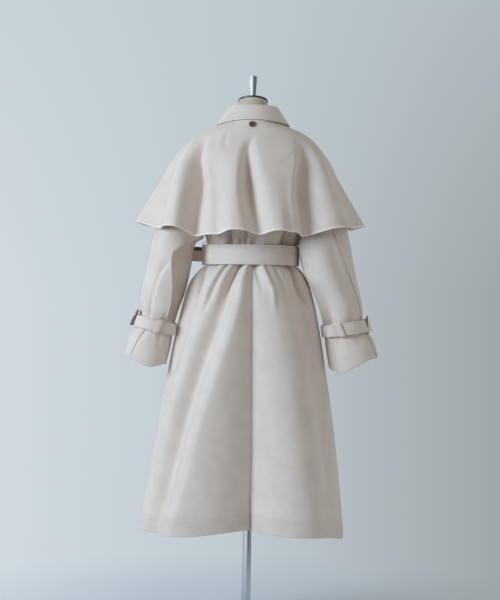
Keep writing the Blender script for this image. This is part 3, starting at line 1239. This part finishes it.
# Button on the cape, under the collar
button_share = (CAPE_RINGS[0].z - BUTTON_Z) / (CAPE_RINGS[0].z - CAPE_RINGS[-1].z)
button_across = button_share ** (1.0 / CAPE_ROW_POWER)
above, seat, below = cape(np.zeros(3), button_across + np.array((-BUTTON_STEP, 0.0, BUTTON_STEP)))
outward = Vector((1.0, 0.0, 0.0)).cross(Vector(below - above)).normalized()
button = turned("button_back_horn", BUTTON_PROFILE, BUTTON_CORNER, HORN, BUTTON_STEPS)
button.rotation_mode = "QUATERNION"
button.rotation_quaternion = outward.to_track_quat("Z", "Y")
button.location = Vector(seat) + outward * BUTTON_OUT
piece(button, "button_back")

# Belt and its loops
belt_passed = np.linspace(0.0, 360.0 + BELT_LAP_TURN, BELT_GRID.columns)[None, :]
belt_across = spread(BELT_GRID.rows, BELT_EDGE, BELT_EDGE)[:, None]
belt_z = BELT_BOTTOM_Z + BELT_HEIGHT * belt_across
from_edge = np.minimum(belt_across, 1.0 - belt_across) * BELT_HEIGHT
crown = BELT_CROWN * smooth(0.0, BELT_CROWN_WIDTH, from_edge)
crown = crown - BELT_GROOVE * bell(from_edge - BELT_STITCH, BELT_GROOVE_WIDTH)
lap = BELT_LAP_OUT * smooth(*BELT_STEP_TURNS, belt_passed)
wave = unevenness(BELT_WAVER, belt_passed, belt_z)
grid = belt_ring(180.0 - belt_passed, belt_z, lap + crown + wave)
tail = belt_tail(np.linspace(0.0, 1.0, BELT_TAIL_COLUMNS)[None, 1:], belt_across)
pale = np.repeat((0.0, BELT_TAIL_PALE), (grid.shape[1], tail.shape[1]))[None, :]
grid = np.concatenate((grid, tail), axis=1)
sewn = [stitches("belt_stitches_" + edge, grid, -1, row, slice(3, -3))
        for edge, row in (("lower", 3), ("upper", -4))]
for node, at in BELT_LOOP_TURNS.items():
    along = np.linspace(-1.0, 1.0, BELT_LOOP_GRID.columns)[None, :]
    across = np.linspace(0.0, 1.0, BELT_LOOP_GRID.rows)[:, None]
    turn = at + BELT_LOOP_HALF_TURN * along
    bottom, top = BELT_BOTTOM_Z - BELT_LOOP_BELOW, BELT_TOP_Z + BELT_LOOP_ABOVE
    z = bottom + (top - bottom) * across
    bend = smooth(BELT_LOOP_BEND, 1.0, across)[..., None]
    outside = belt_ring(turn, z, CLEAR + LOOP_WALL + BELT_LOOP_OUT + BELT_LOOP_CROWN * (1.0 - along ** 2))
    inside = body(turn, z, 2.0 * CLEAR + LOOP_WALL)
    loop = wall(node + "_cloth", outside * (1.0 - bend) + inside * bend, LOOP_WALL, CREAM, 1, 0.5)
    piece(loop, node)
cloth_piece("belt", grid, BELT_WALL, -1, 0.5, pale)


def soft_frame(node):
    """A buckle's frame on its solid's place, covered in leather and drawn against its strap."""
    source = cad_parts[node]
    obj = bpy.data.objects.new(node + "_leather", source.data.copy())
    bpy.context.scene.collection.objects.link(obj)
    obj.data.materials.clear()
    obj.data.materials.append(LEATHER)
    weld = obj.modifiers.new("Weld", "WELD")
    weld.merge_threshold = BUCKLE_WELD
    obj.data.polygons.foreach_set("use_smooth", np.ones(len(obj.data.polygons), bool))
    obj.data.set_sharp_from_angle(angle=BUCKLE_SHARP_ANGLE)
    if node in BUCKLE_TURNS:
        hug = BUCKLE_TURNS[node]
        middle = sum((v.co for v in obj.data.vertices), Vector()) / len(obj.data.vertices)
        obj.data.transform(Matrix.Translation(middle + Vector(hug.shift))
                           @ Matrix.Rotation(math.radians(hug.turn), 4, hug.axis) @ Matrix.Scale(hug.size, 4)
                           @ Matrix.Translation(-middle))
    return piece(obj, node)


for node in ("cuff_buckle_left", "cuff_buckle_right", "belt_buckle"):
    soft_frame(node)

# Dress form, whole and smooth
form_z = np.linspace(FORM_RINGS[0].z, FORM_RINGS[-1].z, FORM_GRID.rows)[:, None]
form_turn = np.linspace(0.0, -360.0, FORM_GRID.columns + 1)[None, :-1]
grid = on_ring(rings(FORM_RINGS, form_z), form_turn, form_z)
grid[..., 2] += grid[..., 1] * math.tan(NECK_TILT) * smooth(NECK_TILT_FROM_Z, FORM_RINGS[-1].z, form_z)
uv = np.stack(np.broadcast_arrays(np.radians(form_turn) * FORM_RADIUS, form_z), -1).reshape(-1, 2)
piece(tube("form_torso_cover", grid, uv, LINEN), "form_torso")


def stand_piece(node, word, material, corner, profile, z=0.0, tilt=0.0):
    obj = turned(node + word, profile, corner, material)
    obj.rotation_euler = (tilt, 0.0, 0.0)
    obj.location = (0.0, 0.0, z)
    return piece(obj, node)


stand_piece("form_neck_cap", "_plate", DARK, 0.0012, CAP_PROFILE, CAP_Z, NECK_TILT)
stand_piece("form_finial", "_spindle", SATIN, 0.0009, FINIAL_PROFILE, FINIAL_Z)
stand_piece("stand_pole", "_tube", CHROME, 0.001, POLE_PROFILE)
stand_piece("stand_base", "_plate", SATIN, 0.003, BASE_PROFILE)


# Floor, light and camera

def floor_material():
    """Pale matt floor that thins out far from the object."""
    material, tree, where, shader = new_material("pale_floor")
    stops = ((0.35, (0.68, 0.73, 0.77)), (0.65, (0.72, 0.77, 0.81)))
    tone = ramp(tree, noise(tree, where["Object"], 3.0), stops)
    plug(tree, shader, {"Base Color": tone, "Roughness": 0.8})
    far = add(tree, "VectorMath", "Value", {0: where["Object"]}, operation="LENGTH")
    fade = mapped(tree, far, (0.30, 1.25), kind="SMOOTHSTEP")
    clear = add(tree, "BsdfTransparent", "BSDF", {})
    mix = add(tree, "MixShader", "Shader", {"Fac": fade, 1: shader.outputs["BSDF"], 2: clear})
    plug(tree, tree.nodes["Material Output"], {"Surface": mix})
    return material


bpy.ops.mesh.primitive_circle_add(vertices=96, radius=1.4, fill_type="NGON")
floor = bpy.context.active_object
floor.name = "floor"
floor.data.materials.append(floor_material())


def backdrop():
    """Pale studio air behind the object, brighter on the window's side.

    A fill that is stronger on the side away from the window lights the object, and metal mirrors a room
    with a dark side.
    """
    world = bpy.data.worlds.new("studio")
    bpy.context.scene.world = world
    world.use_nodes = True
    tree = world.node_tree
    seen = tree.nodes["Background"]
    where = tree.nodes.new("ShaderNodeTexCoord").outputs["Generated"]
    x = add(tree, "SeparateXYZ", "X", {"Vector": where})
    z = add(tree, "SeparateXYZ", "Z", {"Vector": where})
    side = mapped(tree, x, (-0.178, 0.178), (-0.5, 0.5))
    even = mapped(tree, z, (0.0, 0.21), (1.0, 0.48))
    share = add(tree, "Math", "Value", {0: side, 1: even, 2: 0.48}, operation="MULTIPLY_ADD")
    air = ((0.0, (0.350, 0.392, 0.406)), (0.5, (0.525, 0.592, 0.632)), (1.0, (0.640, 0.706, 0.755)))
    plug(tree, seen, {"Color": ramp(tree, share, air)})
    strength = mapped(tree, x, (-1.0, 0.0), (0.63, 0.29))
    fill = add(tree, "Background", "Background", {"Color": (0.950, 0.980, 1.010, 1.0), "Strength": strength})
    greys = ((0.06, 0.30), (0.14, 0.03), (0.24, 0.03), (0.32, 0.45), (0.62, 0.75), (0.78, 0.95))
    room = [(place, (grey, 1.04 * grey, 1.07 * grey)) for place, grey in greys]
    room = [(0.0, (0.30, 0.31, 0.32)), *room, (1.0, (0.50, 0.53, 0.55))]
    mirror = ramp(tree, mapped(tree, x, (-1.0, 1.0)), room)
    mirrored = add(tree, "Background", "Background", {"Color": mirror})
    rays = tree.nodes.new("ShaderNodeLightPath").outputs
    light = add(tree, "MixShader", "Shader", {"Fac": rays["Is Glossy Ray"], 1: fill, 2: mirrored})
    mix = add(tree, "MixShader", "Shader", {
        "Fac": rays["Is Camera Ray"], 1: light, 2: seen.outputs["Background"]})
    plug(tree, tree.nodes["World Output"], {"Surface": mix})


def area_light(name, place, aim, size, power, colour):
    light = bpy.data.lights.new(name, "AREA")
    light.shape = "RECTANGLE"
    light.size, light.size_y = size
    light.energy = power
    light.color = colour
    obj = bpy.data.objects.new(name, light)
    obj.location = place
    obj.rotation_euler = (Vector(aim) - Vector(place)).to_track_quat("-Z", "Y").to_euler()
    bpy.context.scene.collection.objects.link(obj)


backdrop()
area_light("window", (3.02, 2.18, 1.85), (0.0, 0.0, 0.9), (1.3, 1.6), 122.0, (0.68, 0.82, 1.0))
area_light("front_fill", (2.2, -3.2, 2.2), (0.0, 0.0, 0.9), (2.0, 2.0), 36.0, (0.80, 0.90, 1.0))

camera = bpy.data.cameras.new("camera")
camera.sensor_width = SENSOR_WIDTH
camera.lens = SENSOR_WIDTH * FOCAL_PIXELS / PHOTO_HEIGHT_PIXELS
view = bpy.data.objects.new("camera", camera)
view.matrix_world = (Matrix.Translation(CAMERA_PLACE) @ Matrix.Rotation(math.pi, 4, "Z")
                     @ Matrix.Rotation(0.5 * math.pi, 4, "X") @ Matrix.Rotation(CAMERA_ROLL, 4, "Z"))
bpy.context.scene.collection.objects.link(view)
bpy.context.scene.camera = view
bpy.context.scene.view_settings.view_transform = "Standard"
